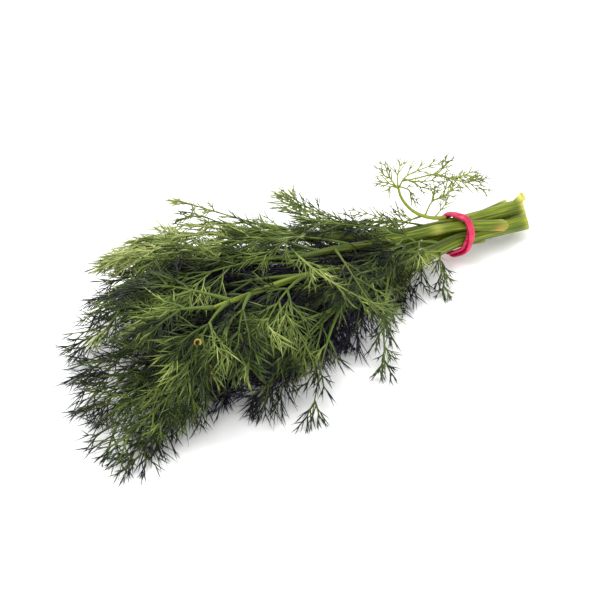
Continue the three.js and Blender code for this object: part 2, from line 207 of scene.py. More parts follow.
def smooth_line(points, count):
    """A smooth line through the points, cut into count equal steps."""
    p = np.array(points, float)
    p = np.vstack([2 * p[0] - p[1], p, 2 * p[-1] - p[-2]])
    gap = np.sqrt(np.linalg.norm(np.diff(p, axis=0), axis=1))
    line = [p[1][None]]
    u = np.linspace(0, 1, LINE_STEPS + 1)[1:, None]
    for i in range(1, len(p) - 2):
        a, b, c = gap[i - 1], gap[i], gap[i + 1]
        start = (p[i] - p[i - 1]) / a - (p[i + 1] - p[i - 1]) / (a + b) + (p[i + 1] - p[i]) / b
        end = (p[i + 1] - p[i]) / b - (p[i + 2] - p[i]) / (b + c) + (p[i + 2] - p[i + 1]) / c
        start, end = start * b, end * b
        line.append(
            (2 * u**3 - 3 * u**2 + 1) * p[i]
            + (u**3 - 2 * u**2 + u) * start
            + (3 * u**2 - 2 * u**3) * p[i + 1]
            + (u**3 - u**2) * end
        )
    return even_steps(np.vstack(line), count)


def even_steps(line, count):
    """The line's points moved so that each step along it is equally long."""
    walked = np.concatenate([[0], np.cumsum(np.linalg.norm(np.diff(line, axis=0), axis=1))])
    at = np.linspace(0, walked[-1], count + 1)
    return np.stack([np.interp(at, walked, line[:, k]) for k in range(3)], axis=1)


def wrap_point(out, distance):
    """The tight wrap round all stems at the band, at this distance outside them."""
    middles = np.array([(BAND_AT, y, BUNDLE_HEIGHT + z) for _, (y, z), _, _ in STEMS])
    radii = np.array([d / 2 for d, _, _, _ in STEMS])
    reach = middles @ out + radii
    best = int(np.argmax(reach))
    return middles[best] + out * (radii[best] + distance)


def strand_middle(turn):
    """The middle of the band's strand; turn goes twice round the bundle."""
    width = STRAND_WIDTH / 2 + STRAND_GAP / 2
    thickness = STRAND_THICKNESS / 2 + STRAND_GAP / 2
    angle = CROSSING_AT + turn
    way = turn / 2
    over = 2 * thickness * max(0.0, math.cos(way))
    out = np.array([0.0, math.cos(angle), math.sin(angle)])
    skin = wrap_point(out, BAND_CLEARANCE + STRAND_THICKNESS / 2 + over)
    lean = BAND_LEAN * (skin[2] - BUNDLE_HEIGHT) - BAND_SLANT * min(skin[1], 0.0)
    return np.array([BAND_AT + lean + width * math.sin(way), skin[1], skin[2]]), out


def bunch_shift():
    """From the bunch's own frame to the row frame, found from the CAD band's box."""
    corners = []
    for turn in np.linspace(0, 4 * math.pi, CAD_BAND_STEPS + 1):
        middle, out = strand_middle(turn)
        for around in np.linspace(0, 2 * math.pi, CAD_STRAND_SIDES + 1):
            side = np.array([math.cos(around) * STRAND_WIDTH / 2, 0, 0])
            corners.append(middle + side + out * math.sin(around) * STRAND_THICKNESS / 2)
    corners = np.array(corners)
    low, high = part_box("rubber_band")
    return (np.array(low) + np.array(high)) / 2 / MM - (corners.min(0) + corners.max(0)) / 2


SHIFT = bunch_shift()

# ---- meshes ----


def deselect():
    if bpy.context.object and bpy.context.object.mode != "OBJECT":
        bpy.ops.object.mode_set(mode="OBJECT")
    bpy.ops.object.select_all(action="DESELECT")


def cut_across(steps):
    """Cuts the standing rod that is being edited into equal lengths."""
    for step in range(1, steps):
        bpy.ops.mesh.select_all(action="SELECT")
        bpy.ops.mesh.bisect(plane_co=(0, 0, step / steps), plane_no=(0, 0, 1))


def take_shape():
    """The finished master's corners and faces; its object is then dropped."""
    bpy.ops.object.mode_set(mode="OBJECT")
    master = bpy.context.object
    corners = np.array([v.co[:] for v in master.data.vertices])
    faces = [tuple(p.vertices) for p in master.data.polygons]
    bpy.data.objects.remove(master, do_unlink=True)
    return corners, faces


def rod_shape(sides, steps):
    """A closed rod, one long and one in radius, that stands on the origin and ends in a point."""
    deselect()
    bpy.ops.mesh.primitive_cone_add(vertices=sides, radius1=1, radius2=0, depth=1, location=(0, 0, 0.5))
    bpy.ops.object.mode_set(mode="EDIT")
    cut_across(steps)
    corners, faces = take_shape()
    return even_out(corners), faces


def even_out(corners):
    """Gives every ring of a cone the radius one, so that a twig's own taper decides it."""
    corners = corners.copy()
    corners[:, 2] += 0.5 - (corners[:, 2].max() + corners[:, 2].min()) / 2
    away = np.linalg.norm(corners[:, :2], axis=1)
    ring = away > 1e-4  # all corners but the tip
    corners[ring, :2] /= away[ring, None]
    return corners


class Twigs:
    """Many twigs at once, each start + lead * u + bow * u * u for u from 0 to 1.

    thick and thin are the radii at foot and tip, facing is the way the leaf's face looks, and
    tone says how pale the twig is; on the heap's leaves it also carries painted light and shade.
    """

    def __init__(self, start, lead, bow, thick, thin, facing, tone):
        self.start, self.lead, self.bow = start, lead, bow
        self.thick, self.thin = thick, thin
        self.facing, self.tone = facing, tone
        self.size = np.linalg.norm(lead + bow, axis=1)

    def at(self, who, u):
        return self.start[who] + self.lead[who] * u[:, None] + self.bow[who] * u[:, None] ** 2

    def along(self, who, u):
        return unit(self.lead[who] + 2 * self.bow[who] * u[:, None])


HALF_STEP = 0.03  # share of a line walked to each side to find its direction


class Lines:
    """Freely bent lines, with what sprout asks of twigs."""

    def __init__(self, lines, facing, tone):
        self.lines = np.array(lines)
        self.size = np.linalg.norm(np.diff(self.lines, axis=1), axis=2).sum(axis=1)
        self.facing = np.tile(unit(np.array(facing, float)), (len(lines), 1))
        self.tone = np.full(len(lines), tone)

    def at(self, who, u):
        step = np.clip(u, 0, 1) * (self.lines.shape[1] - 1)
        low = np.minimum(step.astype(int), self.lines.shape[1] - 2)
        part = (step - low)[:, None]
        return self.lines[who, low] * (1 - part) + self.lines[who, low + 1] * part

    def along(self, who, u):
        return unit(self.at(who, u + HALF_STEP) - self.at(who, u - HALF_STEP))


ABOVE_FLOOR = 0.1  # gap that twigs keep above the surface


def bend_copies(shape, twigs, level, taper=1.0):
    """One bent copy of the rod for each twig: corners, faces and what the paint needs.

    The level is 0 for a leaf's stalk, 1 for a side stalk, 2 for a twig and 3 for a thread.
    """
    corners, faces = shape
    n, m = len(twigs.start), len(corners)
    u = corners[:, 2]
    spine = (
        twigs.start[:, None]
        + twigs.lead[:, None] * u[None, :, None]
        + twigs.bow[:, None] * u[None, :, None] ** 2
    )
    along = unit(twigs.lead[:, None] + 2 * twigs.bow[:, None] * u[None, :, None])
    across = unit(np.cross(twigs.facing[:, None], along))
    up = np.cross(along, across)
    radius = twigs.thin[:, None] + (twigs.thick - twigs.thin)[:, None] * (1 - u[None]) ** taper
    spine[..., 2] = np.maximum(spine[..., 2], radius + ABOVE_FLOOR)
    place = spine + (across * corners[None, :, :1] + up * corners[None, :, 1:2]) * radius[..., None]
    tones = np.broadcast_to(twigs.tone[:, None], (n, m))
    paint = np.stack([np.broadcast_to(u[None], (n, m)), tones, np.full((n, m), float(level))], axis=-1)
    loops, sizes = face_loops(faces)
    all_loops = (np.arange(n)[:, None] * m + loops[None]).ravel()
    return place.reshape(-1, 3), all_loops, np.tile(sizes, n), paint.reshape(-1, 3)


def follow_line(shape, line, facing, thick, thin, level, tone):
    """One rod bent along a free line: corners, faces and what the paint needs."""
    corners, faces = shape
    u = corners[:, 2]
    whole = Lines([line], facing, tone)
    who = np.zeros(len(u), int)
    middle, along = whole.at(who, u), whole.along(who, u)
    across = unit(np.cross(whole.facing[who], along))
    up = np.cross(along, across)
    radius = (thick + (thin - thick) * u)[:, None]
    place = middle + (across * corners[:, :1] + up * corners[:, 1:2]) * radius
    paint = np.column_stack([u, np.full(len(u), tone), np.full(len(u), float(level))])
    return place, *face_loops(faces), paint


def face_loops(faces):
    """The corner of each face loop, and how many loops each face has."""
    return np.array([v for f in faces for v in f]), np.array([len(f) for f in faces])


def joined(parts):
    """All parts as one: corners in metres in the row frame, face loops, face sizes and paint."""
    places, loops, sizes, paints = zip(*parts)
    firsts = np.cumsum([0] + [len(place) for place in places[:-1]])
    loops = np.concatenate([loop + first for loop, first in zip(loops, firsts)])
    return (np.vstack(places) + SHIFT) * MM, loops, np.concatenate(sizes), np.vstack(paints)


def new_mesh(name, places, loops, sizes):
    """A smooth shaded mesh from corners, the corner of each loop and the loops of each face."""
    mesh = bpy.data.meshes.new(name)
    mesh.vertices.add(len(places))
    mesh.vertices.foreach_set("co", places.astype(np.float32).ravel())
    mesh.loops.add(len(loops))
    mesh.loops.foreach_set("vertex_index", loops.astype(np.int32))
    mesh.polygons.add(len(sizes))
    starts = np.concatenate([[0], np.cumsum(sizes)[:-1]]).astype(np.int32)
    mesh.polygons.foreach_set("loop_start", starts)
    mesh.polygons.foreach_set("use_smooth", np.ones(len(sizes), bool))
    return mesh


def set_attribute(mesh, name, values):
    attribute = mesh.attributes.new(name, "FLOAT_VECTOR", "POINT")
    attribute.data.foreach_set("vector", values.astype(np.float32).ravel())


def mesh_piece(name, parts, material, cad_node, wear_and_shade=None):
    """One mesh object from the parts, which stands for the CAD node where one is given.

    On a leaf, paint holds the share walked along the twig, its tone with any painted light and shade,
    and its level. On a stem it holds the place across and along it in millimetres; the other
    attribute holds how yellow and torn the stem is and how dark its painted shade is.
    """
    places, loops, sizes, paints = joined(parts)
    mesh = new_mesh(name, places, loops, sizes)
    set_attribute(mesh, "paint", paints)
    if wear_and_shade is not None:
        set_attribute(mesh, "wear_and_shade", wear_and_shade)
    mesh.update(calc_edges=True)
    mesh.validate()
    mesh.materials.append(material)
    piece = bpy.data.objects.new(name, mesh)
    bpy.context.scene.collection.objects.link(piece)
    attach(piece, "root")
    if cad_node:
        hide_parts(cad_node)
    return piece


# ---- materials ----


def linear(code):
    """A linear colour from an sRGB hex value."""
    parts = [int(code[i : i + 2], 16) / 255 for i in (1, 3, 5)]
    return tuple(c / 12.92 if c <= 0.04045 else ((c + 0.055) / 1.055) ** 2.4 for c in parts) + (1.0,)


def add_node(material, kind, settings=None, inputs=None, stops=()):
    """Adds a node with its settings, its inputs as values or as sockets to link, and ramp stops."""
    tree = material.node_tree
    node = tree.nodes.new(kind)
    for key, value in (settings or {}).items():
        setattr(node, key, value)
    for key, value in (inputs or {}).items():
        if isinstance(value, bpy.types.NodeSocket):
            tree.links.new(value, node.inputs[key])
        else:
            node.inputs[key].default_value = value
    while stops and len(node.color_ramp.elements) < len(stops):
        node.color_ramp.elements.new(0.5)
    for rank, (place, code) in enumerate(stops):
        node.color_ramp.elements[rank].position = place
        node.color_ramp.elements[rank].color = linear(code)
    return node


def new_material(name):
    material = bpy.data.materials.new(name)
    material.use_nodes = True
    material.node_tree.nodes.clear()
    return material


# Sizes of the patterns. A noise's bumps are about as wide as one over its scale. The stems'
# grain reads their own attribute, which is in millimetres already.
LEAF_PATCH = 22.22  # patches of older and younger green in the heap
STEM_GRAIN_WIDTH = 0.6667  # the streaks between a stem's ribs
STEM_GRAIN_LENGTH = 16.67
RUST_SPECK = 2.381  # from one speck on a stem to the next
RUBBER_BLOTCH = 3.333  # as wide as the strand
BOARD_MOTTLE = 125  # how far a brush or roller reaches before its paint thins

TONE_WEIGHT = 0.6  # how far a twig's tone, its own and its painted light and shade, moves it along the ramp of greens
TWIG_LEVEL = 2.0  # from this level on, nothing of the stalk's colour is left

SHADE_VIOLET = "#171026"  # what the eye makes of leaves so deep that no light reaches them
LIT_PALE_STRAW = "#a9b16c"  # the palest threads, reached where painted light of the heap's top and far side adds to a twig's own paler tone
RUST_BROWN = "#8a6a2c"
DEEP_GREEN = "#22300f"  # of stems in the heap's shade
CUT_YELLOW = "#d2ce6a"  # of fresh pith
TORN_TAN = "#b98d45"  # of a dried tear in the skin


def dill_leaf_material(name, dark, middle, light, stalk):
    """Dill leaf, grown as fine threads: matt, its tone set twig by twig, which on the heap's leaves
    carries painted light and shade, its stalks of one colour.
    """
    material = new_material(name)
    paint = add_node(material, "ShaderNodeAttribute", {"attribute_name": "paint"})
    split = add_node(material, "ShaderNodeSeparateXYZ", inputs={0: paint.outputs["Vector"]})
    place = add_node(material, "ShaderNodeTexCoord")
    noise = {"Vector": place.outputs["Object"], "Scale": 1 / (LEAF_PATCH * MM), "Detail": 2.0}
    patches = add_node(material, "ShaderNodeTexNoise", inputs=noise)
    mixed = add_node(
        material,
        "ShaderNodeMath",
        {"operation": "MULTIPLY_ADD"},
        {0: split.outputs["Y"], 1: TONE_WEIGHT, 2: patches.outputs["Fac"]},
    )
    level = {0: mixed.outputs[0], 1: TONE_WEIGHT / 2}
    centred = add_node(material, "ShaderNodeMath", {"operation": "SUBTRACT"}, level)
    green = add_node(
        material,
        "ShaderNodeValToRGB",
        inputs={"Fac": centred.outputs[0]},
        stops=[(0.0, SHADE_VIOLET), (0.2, dark), (0.5, middle), (0.82, light), (1.0, LIT_PALE_STRAW)],
    )
    span = {"From Min": 0.0, "From Max": TWIG_LEVEL, "To Min": 1.0, "To Max": 0.0}
    stalky = add_node(material, "ShaderNodeMapRange", inputs={"Value": split.outputs["Z"], **span})
    colour = add_node(
        material,
        "ShaderNodeMix",
        {"data_type": "RGBA"},
        {0: stalky.outputs["Result"], 6: green.outputs["Color"], 7: linear(stalk)},
    )
    shader = add_node(
        material,
        "ShaderNodeBsdfPrincipled",
        inputs={"Base Color": colour.outputs[2], "Roughness": 0.5, "Specular IOR Level": 0.25},
    )
    add_node(material, "ShaderNodeOutputMaterial", inputs={"Surface": shader.outputs["BSDF"]})
    return material


def dill_stem_material(name, dark, middle, light):
    """Living dill stem, a waxy ribbed skin: satin green streaks, yellow where cut, tan where torn,
    darkened with painted shade towards the heap and on stems tucked low or deep in the bundle.
    """
    material = new_material(name)
    paint = add_node(material, "ShaderNodeAttribute", {"attribute_name": "paint"})
    scale = (1 / STEM_GRAIN_WIDTH, 1 / STEM_GRAIN_WIDTH, 1 / STEM_GRAIN_LENGTH)
    drawn = {"Vector": paint.outputs["Vector"], "Scale": scale}
    squeezed = add_node(material, "ShaderNodeMapping", inputs=drawn)
    noise = {"Vector": squeezed.outputs["Vector"], "Scale": 1.0, "Detail": 3.0}
    grain = add_node(material, "ShaderNodeTexNoise", inputs=noise)
    green = add_node(
        material,
        "ShaderNodeValToRGB",
        inputs={"Fac": grain.outputs["Fac"]},
        stops=[(0.3, dark), (0.5, middle), (0.72, light)],
    )
    place = add_node(material, "ShaderNodeTexCoord")
    noise = {"Vector": place.outputs["Object"], "Scale": 1 / (RUST_SPECK * MM), "Detail": 1.0}
    dots = add_node(material, "ShaderNodeTexNoise", inputs=noise)
    specks = add_node(
        material,
        "ShaderNodeValToRGB",
        inputs={"Fac": dots.outputs["Fac"]},
        stops=[(0.66, "#000000"), (0.74, "#707070")],
    )
    wear_and_shade = add_node(material, "ShaderNodeAttribute", {"attribute_name": "wear_and_shade"})
    split = add_node(material, "ShaderNodeSeparateXYZ", inputs={0: wear_and_shade.outputs["Vector"]})
    layers = [
        (specks.outputs["Color"], RUST_BROWN),
        # painted shade: the attribute's third value darkens the stem where it lies in shade
        (split.outputs["Z"], DEEP_GREEN),
        (split.outputs["X"], CUT_YELLOW),
        (split.outputs["Y"], TORN_TAN),
    ]
    colour = green.outputs["Color"]
    for amount, code in layers:
        inputs = {0: amount, 6: colour, 7: linear(code)}
        mix = add_node(material, "ShaderNodeMix", {"data_type": "RGBA"}, inputs)
        colour = mix.outputs[2]
    shader = add_node(
        material,
        "ShaderNodeBsdfPrincipled",
        inputs={"Base Color": colour, "Roughness": 0.4, "Specular IOR Level": 0.22},
    )
    add_node(material, "ShaderNodeOutputMaterial", inputs={"Surface": shader.outputs["BSDF"]})
    return material


def mottled_material(name, blotch, stops, roughness, specular):
    """One dyed or painted surface with faint blotches, which keep it from looking flat."""
    material = new_material(name)
    place = add_node(material, "ShaderNodeTexCoord")
    noise = {"Vector": place.outputs["Object"], "Scale": 1 / (blotch * MM), "Detail": 2.0}
    blotches = add_node(material, "ShaderNodeTexNoise", inputs=noise)
    colour = add_node(
        material, "ShaderNodeValToRGB", inputs={"Fac": blotches.outputs["Fac"]}, stops=stops
    )
    skin = {"Base Color": colour.outputs["Color"], "Roughness": roughness}
    skin["Specular IOR Level"] = specular
    shader = add_node(material, "ShaderNodeBsdfPrincipled", inputs=skin)
    add_node(material, "ShaderNodeOutputMaterial", inputs={"Surface": shader.outputs["BSDF"]})
    return material


# Living leaf with its waxy bloom: matt, deep green threads on paler stalks.
LEAF_GREEN = dill_leaf_material("fresh_dill_leaf", "#121909", "#324316", "#7e8f45", "#4c5e1e")
# Leaf that wilted and dried: tan all over, with no green left.
DRY_TAN = dill_leaf_material("dried_dill_leaf", "#77652a", "#a08a3c", "#c4ad62", "#a08a3c")
# Leaf that has just unfolded: yellow green all over.
YOUNG_GREEN = dill_leaf_material("young_dill_leaf", "#454c14", "#6a7428", "#8a9445", "#8b9430")
# Living stem: satin, streaked light and dark between its ribs.
STEM_GREEN = dill_stem_material("fresh_dill_stem", "#3e5210", "#5d6c15", "#8c992c")
# Dyed natural rubber, extruded: satin, a little darker where it was handled.
RUBBER = mottled_material(
    "natural_rubber_crimson", RUBBER_BLOTCH, [(0.35, "#b00d3e"), (0.65, "#d21a52")], 0.34, 0.5
)
# White painted board: matt and almost even.
WHITE_BOARD = mottled_material(
    "white_painted_board", BOARD_MOTTLE, [(0.3, "#f7f7f7"), (0.7, "#fbfbfb")], 0.9, 0.1
)

# ---- leaves ----

THREAD_ROD = rod_shape(3, 2)
TWIG_ROD = rod_shape(4, 3)
SIDE_STALK_ROD = rod_shape(5, 6)
STALK_ROD = rod_shape(8, 14)
CURLED_ROD = rod_shape(6, 18)

# How twigs grow on their parent: the shares of it where the first and last leave, their angle in
# degrees, how far their faces turn at random, how far they bend on along the parent and how far
# they sink, both as shares of their own length, and their radii at foot and tip.
Habit = namedtuple("Habit", "first last angle spread forward sink thick thin")
SIDE_HABIT = Habit(0.3, 0.98, 40, 0.2, 0.3, 0.14, 0.5, 0.28)
TWIG_HABIT = Habit(0.16, 0.98, 33, 0.4, 0.18, 0.04, 0.33, 0.19)
THREAD_HABIT = Habit(0.15, 0.85, 25, 0.45, 0.1, 0.02, 0.29, 0.06)
SPRIG_SIDE_HABIT = Habit(0.25, 1.0, 30, 0.15, 0.05, 0.02, 0.27, 0.14)
SPRIG_THREAD_HABIT = Habit(0.1, 0.6, 22, 0.12, 0.03, 0.0, 0.24, 0.1)

PLACE_CHANGE = 0.25  # how far a twig strays from its place, as a share of the gap to the next
FOOT_ANGLE = 1.25  # near its parent's foot a twig stands out by this share of its angle
ANGLE_LOSS = 0.5  # and by this much less at the tip
ANGLE_CHANGE = 6  # degrees
SHORTER, LONGER = 0.78, 1.22  # how much twigs of one parent differ in length
LEAD_LOSS = 0.6  # so that a twig that bends on along its parent keeps its length
TONE_CHANGE = 0.16  # how much paler or darker a twig is than its parent
DOWN = np.array([0, 0, -1.0])

PAIR_GAP = 17  # from one pair of side stalks to the next along a leaf's stalk
TWIG_GAP = 6.3
THREAD_GAP = 4.2
# A twig's length: the shortest one, its growth with its parent's length and its loss towards the
# parent's tip.
SHORTEST_SIDE, SIDE_GROWTH, SIDE_LOSS = 4, 0.38, 0.46
SIDE_MIDDLE = 0.4  # where along the stalk a side stalk has neither gained nor lost
TWIG_LENGTH = (7.2, 0.29, 0.45)
THREAD_LENGTH = (5.4, 0.34, 0.4)
FOOT_LENGTH = 1.15  # how much longer twigs and threads are at the parent's foot
STALK_FOOT = 0.85  # radius of a leaf's stalk where it leaves its stem
STALK_TIP = 0.28
STALK_TAPER = 2.5  # above one, a rod thins soon after its foot
TWIG_TAPER = 0.7  # below one, it stays thick almost to its tip
THREAD_TAPER = 0.6
TONE_AT = 0.6  # where along a twig the heap's painted light and shade is taken

LOOSE_STEPS = 24
LOOSE_FACING = (0, -0.3, 1)
LOOSE_LEVEL = 1.7  # a loose leaf's stalk is almost as green as its twigs
LOOSE_TONE = 0.8  # and that much paler
LOOSE_COARSE = 0.9  # its threads are finer
DRY_FACING = (0, -1, 0.6)
DRY_TIP = 0.4  # radius at the tip, as a share of the foot's
DRY_TONE = 0.4

OLDEST = (3,)  # row of the stem with the oldest leaves, whose threads are thicker
COARSE = 1.25
LEAF_CHANGE = 0.16  # how much paler or darker a whole leaf is than its neighbours
INNER_SHADE = 0.6  # how much painted shade darkens the fronds inside the heap

HEAP_HEIGHT = 46
NEAR_WIDTH, FAR_WIDTH = 62, 42  # from the heap's middle to its two sides
FULL_WIDTH_AT, FULL_HEIGHT_AT = 85, 72  # distances from the band where the heap is full
END_FROM, END_TO = 190, 130  # between these distances from it the heap falls off to its end
LEAST_WIDTH, LEAST_HEIGHT = 0.25, 0.45  # at the band, as shares of the full ones
FLOOR_TONE = 0.12  # of a leaf on the surface, outside the heap
TOP_PAINTED_LIGHT = 0.5  # how much paler the top is: painted light
FAR_PAINTED_LIGHT = 0.85  # how much paler the far side is: painted light
INSIDE_PAINTED_SHADE = 0.85  # how much darker the inside is: painted shade
END_SPARSENESS = 0.45  # share of the twigs that are missing there


def sprout(rng, parents, counts, habit, lengths):
    """Side twigs in opposite pairs along every parent; counts says how many pairs each has."""
    who = np.repeat(np.arange(len(counts)), counts * 2)
    first_of = np.concatenate([[0], np.cumsum(counts * 2)[:-1]])
    rank = np.arange(len(who)) - first_of[who]
    side = np.where(rank % 2 == 0, 1.0, -1.0)
    steps = rank // 2 + 0.5 + rng.uniform(-PLACE_CHANGE, PLACE_CHANGE, len(who))
    share = habit.first + (habit.last - habit.first) * steps / counts[who]
    start = parents.at(who, share)
    along = parents.along(who, share)
    facing = unit(parents.facing[who] + habit.spread * rng.normal(size=(len(who), 3)))
    across = unit(np.cross(facing, along)) * side[:, None]
    angle = habit.angle * (FOOT_ANGLE - ANGLE_LOSS * share) + rng.normal(0, ANGLE_CHANGE, len(who))
    turn = np.radians(angle)[:, None]
    way = along * np.cos(turn) + across * np.sin(turn)
    size = (lengths(parents.size[who], share) * rng.uniform(SHORTER, LONGER, len(who)))[:, None]
    bow = (along * habit.forward + DOWN * habit.sink) * size
    lead = way * size * (1 - habit.forward * LEAD_LOSS)
    tone = parents.tone[who] + rng.normal(0, TONE_CHANGE, len(who))
    thick, thin = np.full(len(who), habit.thick), np.full(len(who), habit.thin)
    return Twigs(start, lead, bow, thick, thin, facing, tone)


def thickened(habit, foot, tip):
    """The habit with its twigs this many times as thick at foot and tip."""
    return habit._replace(thick=habit.thick * foot, thin=habit.thin * tip)


def pairs_along(parents, gap, least, most, full=1.0):
    """How many pairs of twigs every parent carries."""
    return np.clip(np.round(parents.size / gap * full), least, most).astype(int)


def stem_line(row, count=200):
    """The middle of a stem, from its cut end through the band into the leaves."""
    _, (y, z), cut, way = STEMS[row]
    return smooth_line([cut, (BAND_AT, y, BUNDLE_HEIGHT + z), *way], count)


def stem_radius(row, share):
    return STEMS[row][0] / 2 * (1 + (STEM_LEAF_END - 1) * share)


def leaf_foot(line, from_band):
    """Where a leaf leaves its stem: the point and the stem's direction."""
    step = int(np.argmax(line[:, 0] <= -from_band)) if line[-1, 0] <= -from_band else len(line) - 1
    step = max(1, min(step, len(line) - 2))
    return line[step], unit(line[step + 1] - line[step - 1])


def leaf_stalk(row, from_band, tip, arch, tone, coarse):
    """A leaf's stalk as in the CAD: it follows its stem a little, then arches over to its tip."""
    point, along = leaf_foot(stem_line(row), from_band)
    tip = np.array(tip, float)
    middle = point + (tip - point) * BEND_AT + along * STALK_LEAD * np.linalg.norm(tip - point)
    middle[2] += arch
    lead = 2 * (middle - point)
    bow = point - 2 * middle + tip
    facing = np.array([0, FLANK_TILT * tip[1] * tip[2], 1.0])
    thick, thin = np.array([STALK_FOOT * coarse]), np.array([STALK_TIP])
    return Twigs(point[None], lead[None], bow[None], thick, thin, unit(facing)[None], np.array([tone]))


def rise(value, low, high):
    """0 up to low, 1 from high on and even between them."""
    return np.clip((value - low) / (high - low), 0, 1)


def heap_top(x, y):
    """How high the heap is here: an arch across it that falls off towards the band and the end."""
    half_width = np.where(y > 0, FAR_WIDTH, NEAR_WIDTH) * np.clip(-x / FULL_WIDTH_AT, LEAST_WIDTH, 1)
    arch = np.clip(1 - (y / half_width) ** 2, 0, 1)
    height = HEAP_HEIGHT * np.clip(-x / FULL_HEIGHT_AT, LEAST_HEIGHT, 1) * arch
    return height * rise(x, -END_FROM, -END_TO)


def painted_light_and_shade(points):
    """Painted light and shade: pale high up and on the far side, deep green low down, and nearly black
    inside the heap.

    The limits are millimetres from the band, from the bunch's middle and above the surface.
    """
    x, y, z = points.T
    far = rise(y, 8, 28) * rise(-x, 0, 130) ** 2 * rise(z, 10, 25)
    inside = rise(heap_top(x, y) - z, 5, 19)
    along = np.interp(x, [-165, -120, -90, -50], [-0.06, 0, 0, 0.16])
    return FLOOR_TONE + TOP_PAINTED_LIGHT * rise(z, 0, 45) + FAR_PAINTED_LIGHT * far - INSIDE_PAINTED_SHADE * inside + along


def fullness(points):
    """How dense the twigs grow: sparser low down at the heap's end, where light comes through."""
    x, _, z = points.T
    return 1 - END_SPARSENESS * rise(-x, 135, 165) * rise(-z, -18, -8)


def add_painted_light_and_shade(twigs):
    twigs.tone = twigs.tone + painted_light_and_shade(twigs.start + TONE_AT * (twigs.lead + twigs.bow))


def twig_length(shortest, growth, loss, reach):
    """The rule for a twig's length from its parent's length and the share walked along it."""
    return lambda size, share: reach * (shortest + size * growth) * (FOOT_LENGTH - loss * share)


def side_parts(rng, stalk, breadth, coarse):
    """All that grows on a leaf's stalk: opposite side stalks, their twigs and the threads."""
    reach = min(1.0, 0.45 + breadth)  # narrow leaves have short twigs
    sides = sprout(
        rng, stalk, pairs_along(stalk, PAIR_GAP, 3, 5), thickened(SIDE_HABIT, coarse, coarse),
        lambda size, share: SHORTEST_SIDE
        + size * breadth * (SIDE_GROWTH - SIDE_LOSS * (share - SIDE_MIDDLE)),
    )
    twigs = sprout(
        rng, sides, pairs_along(sides, TWIG_GAP, 2, 6, fullness(sides.start)),
        thickened(TWIG_HABIT, coarse, coarse), twig_length(*TWIG_LENGTH, reach),
    )
    threads = sprout(
        rng, twigs, pairs_along(twigs, THREAD_GAP, 1, 3, fullness(twigs.start)),
        thickened(THREAD_HABIT, coarse, coarse**3), twig_length(*THREAD_LENGTH, reach),
    )
    for grown in (sides, twigs, threads):
        add_painted_light_and_shade(grown)
    return [
        bend_copies(SIDE_STALK_ROD, sides, 1),
        bend_copies(TWIG_ROD, twigs, 2, TWIG_TAPER),
        bend_copies(THREAD_ROD, threads, 3, THREAD_TAPER),
    ]


def make_leaf(name, node, row, values, seed, shade=0.0):
    from_band, x, y, z, arch, breadth = values
    rng = np.random.default_rng(seed)
    tone = rng.uniform(-LEAF_CHANGE, LEAF_CHANGE) - shade
    coarse = COARSE if row in OLDEST else 1.0
    stalk = leaf_stalk(row, from_band, (x, y, z), arch, tone, coarse)
    parts = side_parts(rng, stalk, breadth, coarse)
    add_painted_light_and_shade(stalk)
    parts = [bend_copies(STALK_ROD, stalk, 0, STALK_TAPER), *parts]
    return mesh_piece(name, parts, LEAF_GREEN, node)


def make_loose_leaf(name, points, thick, breadth, tone, seed):
    """A leaf whose stalk follows the points freely, as a twisted or turned back one does."""
    rng = np.random.default_rng(seed)
    line = smooth_line(points, LOOSE_STEPS)
    stalk = Lines([line], LOOSE_FACING, tone)
    pale = tone + LOOSE_TONE
    rod = follow_line(STALK_ROD, line, LOOSE_FACING, thick, STALK_TIP, LOOSE_LEVEL, pale)
    parts = [rod, *side_parts(rng, stalk, breadth, LOOSE_COARSE)]
    return mesh_piece(name, parts, LEAF_GREEN, None)


def make_dry_bit(name, points, thick):
    """A wilted thread that dried on the heap: a thin tan rod along the points."""
    line = smooth_line(points, LOOSE_STEPS)
    part = follow_line(CURLED_ROD, line, DRY_FACING, thick, DRY_TIP * thick, 3, DRY_TONE)
    return mesh_piece(name, [part], DRY_TAN, None)


# Every leaf has a seed of its own, so that no two grow alike.
for row, leaves in enumerate(LEAVES):
    for rank, values in enumerate(leaves):
        name = f"dill_leaf_{row + 1}_{rank + 1}"
        shade = SHADED.get((row + 1, rank + 1), 0.0)
        make_leaf(name, f"stem_{row + 1}_leaf_{rank + 1}", row, values, 100 * row + rank, shade)

for rank, (points, *values) in enumerate(LOOSE_LEAVES):
    make_loose_leaf(f"dill_loose_leaf_{rank + 1}", points, *values, 3000 + rank)

for rank, (stem, *values) in enumerate(FRONDS):
    make_leaf(f"dill_frond_{rank + 1}", None, stem - 1, values, 2000 + rank)

for rank, (stem, *values) in enumerate(INNER_FRONDS):
    make_leaf(f"dill_inner_frond_{rank + 1}", None, stem - 1, values, 2500 + rank, INNER_SHADE)

for rank, (points, thick) in enumerate(DRY_BITS):
    make_dry_bit(f"dried_thread_{rank + 1}", points, thick)

# ---- stems ----

